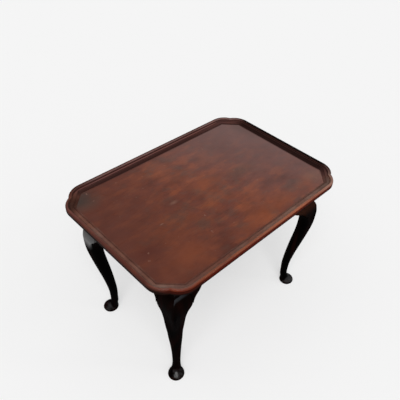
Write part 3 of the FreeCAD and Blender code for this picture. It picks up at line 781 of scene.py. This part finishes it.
def ebonised_mahogany(finish, axis):
    """Black polish with red wood showing through, scuffed at the feet, bare inside the frame."""
    material, w, shader, place, normal = new_material(
        "ebonised_mahogany_" + axis, **{"Specular IOR Level": BARE_SHINE, "Coat Roughness": 0.15})
    grain = grain_of(w, place, axis, finish)
    wear = wear_of(w, place)
    inside = inside_frame(w, place)
    scuffs = w.times(w.fade(w.split(place)[2], 0.0, finish.scuff_height, 1.0, 0.0), wear["Dust"])

    coat = leg_colour(w, place, normal, grain, wear, scuffs, finish)
    raw = bare_wood(w, grain, finish.bare, finish.glow)
    w.feed(shader["Base Color"], w.mix(inside, coat, raw))
    worn = w.math("ADD", w.fade(wear["Patches"], 0.3, 0.7, 0.18, 0.30), w.times(scuffs, 0.3))
    edge_on = w.node("LayerWeight", {"Blend": 0.5}).outputs["Facing"]
    worn = w.most(worn, w.fade(edge_on, 0.35, 0.75, 0.0, 0.85), w.times(inside, 0.8))
    w.feed(shader["Roughness"], worn)
    w.feed(shader["Coat Weight"], leg_gloss(w, place, normal, wear, inside, finish))
    w.feed(shader["Normal"], polished_relief(w, place, grain, scale=60.0, strength=0.10))
    return material


def frame_beech(finish, axis):
    """Plain beech of the blocks and buttons, with flecks and handling dirt."""
    material, w, shader, place, _ = new_material("frame_beech_" + axis, **{"Specular IOR Level": 0.3})
    grain = grain_of(w, place, axis, finish)
    wear = wear_of(w, place)
    board = w.mix(w.fade(grain["Bands"], 0.3, 0.7), finish.pale, finish.tan)
    board = w.mix(w.times(grain["Pores"], 0.6), board, finish.tan)
    board = w.mix(w.times(wear["Dust"], 0.25), board, finish.rust)
    w.feed(shader["Base Color"], board)
    w.feed(shader["Roughness"], w.fade(grain["Streaks"], 0.3, 0.7, 0.6, 0.8))
    w.feed(shader["Normal"], bump(w, grain["Streaks"], strength=0.2, distance=0.0005))
    return material


def screw_steel(finish):
    """Old slotted screws: bright steel under brown tarnish."""
    material, w, shader, place, _ = new_material("screw_steel", Metallic=1.0)
    tarnish = w.fade(w.noise(place, scale=260.0, detail=4.0, roughness=0.65), 0.42, 0.62)
    w.feed(shader["Base Color"], w.mix(tarnish, finish.steel, finish.rust))
    w.feed(shader["Roughness"], w.blend(tarnish, 0.32, 0.62))
    w.feed(shader["Normal"], bump(w, tarnish, strength=0.2, distance=0.0003))
    return material


def finish_nodes(names, material):
    """Gives pieces of the frame their finished material."""
    for name in names:
        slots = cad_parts[name].material_slots
        slots[0].material = material


class TEATABLE_OT_tray(bpy.types.Operator):
    """Polish the board that makes the floor of the tray"""

    bl_idname = "tea_table.tray"
    bl_label = "Tray panel"

    def execute(self, context):
        finish_nodes(["tray_panel"], tray_mahogany(context.scene.tray_finish))
        return {"FINISHED"}


class TEATABLE_OT_rim(bpy.types.Operator):
    """Polish the straight and turned lengths of the moulded rim"""

    bl_idname = "tea_table.rim"
    bl_label = "Moulded rim"

    def execute(self, context):
        finish = context.scene.tray_finish
        side = rim_mahogany(finish, "x")
        end = rim_mahogany(finish, "y")
        finish_nodes(["rim_front", "rim_back"], side)
        finish_nodes(["rim_left", "rim_right"], end)
        finish_nodes(["rim_corner_" + corner + "_side" for corner in CORNERS], side)
        finish_nodes(["rim_corner_" + corner + "_end" for corner in CORNERS], end)
        return {"FINISHED"}


class TEATABLE_OT_legs(bpy.types.Operator):
    """Ebonise the legs and the shaped knee blocks beside them"""

    bl_idname = "tea_table.legs"
    bl_label = "Legs and knee blocks"

    def execute(self, context):
        upright = ebonised_mahogany(context.scene.leg_finish, "z")
        finish_nodes(["leg_" + corner for corner in CORNERS], upright)
        blocks = ["knee_block_" + corner + end for corner in CORNERS for end in ("_side", "_end")]
        finish_nodes(blocks, upright)
        return {"FINISHED"}


class TEATABLE_OT_rails(bpy.types.Operator):
    """Ebonise the rails outside and leave them bare inside"""

    bl_idname = "tea_table.rails"
    bl_label = "Rails"

    def execute(self, context):
        finish = context.scene.leg_finish
        finish_nodes(["rail_front", "rail_back"], ebonised_mahogany(finish, "x"))
        finish_nodes(["rail_left", "rail_right"], ebonised_mahogany(finish, "y"))
        return {"FINISHED"}


class TEATABLE_OT_blocks(bpy.types.Operator):
    """Bring out the beech of the corner blocks and buttons"""

    bl_idname = "tea_table.blocks"
    bl_label = "Corner blocks and buttons"

    def execute(self, context):
        lengthwise = frame_beech(context.scene.frame_finish, "x")
        crosswise = frame_beech(context.scene.frame_finish, "y")
        finish_nodes(["corner_block_" + corner for corner in CORNERS], lengthwise)
        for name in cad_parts:
            if name.startswith(("button_front", "button_back")):
                finish_nodes([name], crosswise)
            elif name.startswith("button_"):
                finish_nodes([name], lengthwise)
        return {"FINISHED"}


class TEATABLE_OT_screws(bpy.types.Operator):
    """Tarnish the screws of the blocks and buttons"""

    bl_idname = "tea_table.screws"
    bl_label = "Screws"

    def execute(self, context):
        finish_nodes(["top_screws", "corner_block_screws"], screw_steel(context.scene.frame_finish))
        return {"FINISHED"}


def seen_directly(w):
    """Mask of the rays that show a surface: straight to the camera, mirrored or through glass."""
    rays = w.node("LightPath").outputs
    return w.most(rays["Is Camera Ray"], rays["Is Glossy Ray"], rays["Is Transmission Ray"])


def studio_floor(settings):
    """Flat pale floor under the table, which throws only part of the light back up."""
    mesh = bpy.data.meshes.new("floor")
    shape = bmesh.new()
    bmesh.ops.create_grid(shape, x_segments=1, y_segments=1, size=settings.floor_size / 2)
    shape.to_mesh(mesh)
    shape.free()
    floor = bpy.data.objects.new("floor", mesh)
    bpy.context.scene.collection.objects.link(floor)
    material = bpy.data.materials.new("studio_floor")
    w = emptied(material)
    pale = w.node("BsdfDiffuse", {"Color": settings.floor}).outputs[0]
    even = w.node("Emission", {"Color": settings.floor}).outputs[0]
    shadow = w.most(w.node("LightPath").outputs["Is Glossy Ray"], settings.shadow)
    shown = w.node("MixShader", {0: shadow, 1: even, 2: pale}).outputs[0]
    bounce = w.node("BsdfDiffuse", {"Color": settings.floor_bounce}).outputs[0]
    surface = w.node("MixShader", {0: seen_directly(w), 1: bounce, 2: shown}).outputs[0]
    w.node("OutputMaterial", {"Surface": surface})
    mesh.materials.append(material)


def studio_world(settings):
    """White backdrop, and soft light that comes mostly from above the camera's side."""
    world = bpy.data.worlds.new("studio")
    w = emptied(world)
    facing = w.node("VectorMath", {0: w.node("TexCoord").outputs["Generated"],
                                   1: Vector(settings.light_from).normalized()}, operation="DOT_PRODUCT")
    level = w.fade(facing.outputs["Value"], *LIGHT_TURN, settings.dark_side, settings.bright_side)
    light = w.node("Background", {"Strength": level}).outputs[0]
    backdrop = w.node("Background", {"Color": settings.floor}).outputs[0]
    surface = w.node("MixShader", {0: seen_directly(w), 1: light, 2: backdrop}).outputs[0]
    w.node("OutputWorld", {"Surface": surface})
    bpy.context.scene.world = world


def studio_lamp(name, azimuth, elevation, strength, spread):
    """Soft distant lamp, turned to shine on the table from its direction."""
    lamp = bpy.data.lights.new(name, "SUN")
    lamp.energy = strength
    lamp.angle = math.radians(spread)
    sun = bpy.data.objects.new(name, lamp)
    level = math.cos(math.radians(elevation))
    towards = Vector((level * math.cos(math.radians(azimuth)), level * math.sin(math.radians(azimuth)),
                      math.sin(math.radians(elevation))))
    sun.rotation_euler = towards.to_track_quat("Z", "Y").to_euler()
    bpy.context.scene.collection.objects.link(sun)


def studio_camera(settings):
    """Camera at the place and turn that the settings give."""
    camera = bpy.data.objects.new("camera", bpy.data.cameras.new("camera"))
    camera.location = settings.camera_place
    camera.rotation_euler = settings.camera_turn
    camera.data.lens = settings.lens
    camera.data.shift_x, camera.data.shift_y = settings.shift
    bpy.context.scene.collection.objects.link(camera)
    bpy.context.scene.camera = camera


class TEATABLE_OT_studio(bpy.types.Operator):
    """Set the floor, the light and the camera"""

    bl_idname = "tea_table.studio"
    bl_label = "Studio"

    def execute(self, context):
        settings = context.scene.studio
        studio_floor(settings)
        studio_world(settings)
        for name, lamp in LAMPS.items():
            studio_lamp(name, *lamp)
        studio_camera(settings)
        context.scene.view_settings.view_transform = "Standard"
        return {"FINISHED"}


OPERATORS = (
    TEATABLE_OT_tray,
    TEATABLE_OT_rim,
    TEATABLE_OT_legs,
    TEATABLE_OT_rails,
    TEATABLE_OT_blocks,
    TEATABLE_OT_screws,
    TEATABLE_OT_studio,
)
SETTINGS = {
    "tray_finish": TrayFinish,
    "leg_finish": LegFinish,
    "frame_finish": FrameFinish,
    "studio": StudioSettings,
}


class TEATABLE_PT_sidebar(bpy.types.Panel):
    """Lists the pieces of the table and their finishes"""

    bl_idname = "TEATABLE_PT_sidebar"
    bl_label = "Tea Table"
    bl_space_type = "VIEW_3D"
    bl_region_type = "UI"
    bl_category = "Tea Table"

    def draw(self, context):
        for operator in OPERATORS:
            self.layout.operator(operator.bl_idname)
        for name, group in SETTINGS.items():
            box = self.layout.box()
            for setting in group.__annotations__:
                box.prop(getattr(context.scene, name), setting)


CLASSES = (*SETTINGS.values(), *OPERATORS, TEATABLE_PT_sidebar)


def register():
    for made in CLASSES:
        bpy.utils.register_class(made)
    for name, group in SETTINGS.items():
        setattr(bpy.types.Scene, name, PointerProperty(type=group))


def unregister():
    for name in SETTINGS:
        delattr(bpy.types.Scene, name)
    for made in reversed(CLASSES):
        bpy.utils.unregister_class(made)


def main():
    register()
    for operator in OPERATORS:
        family, action = operator.bl_idname.split(".")
        getattr(getattr(bpy.ops, family), action)()


if __name__ == "__main__":
    main()
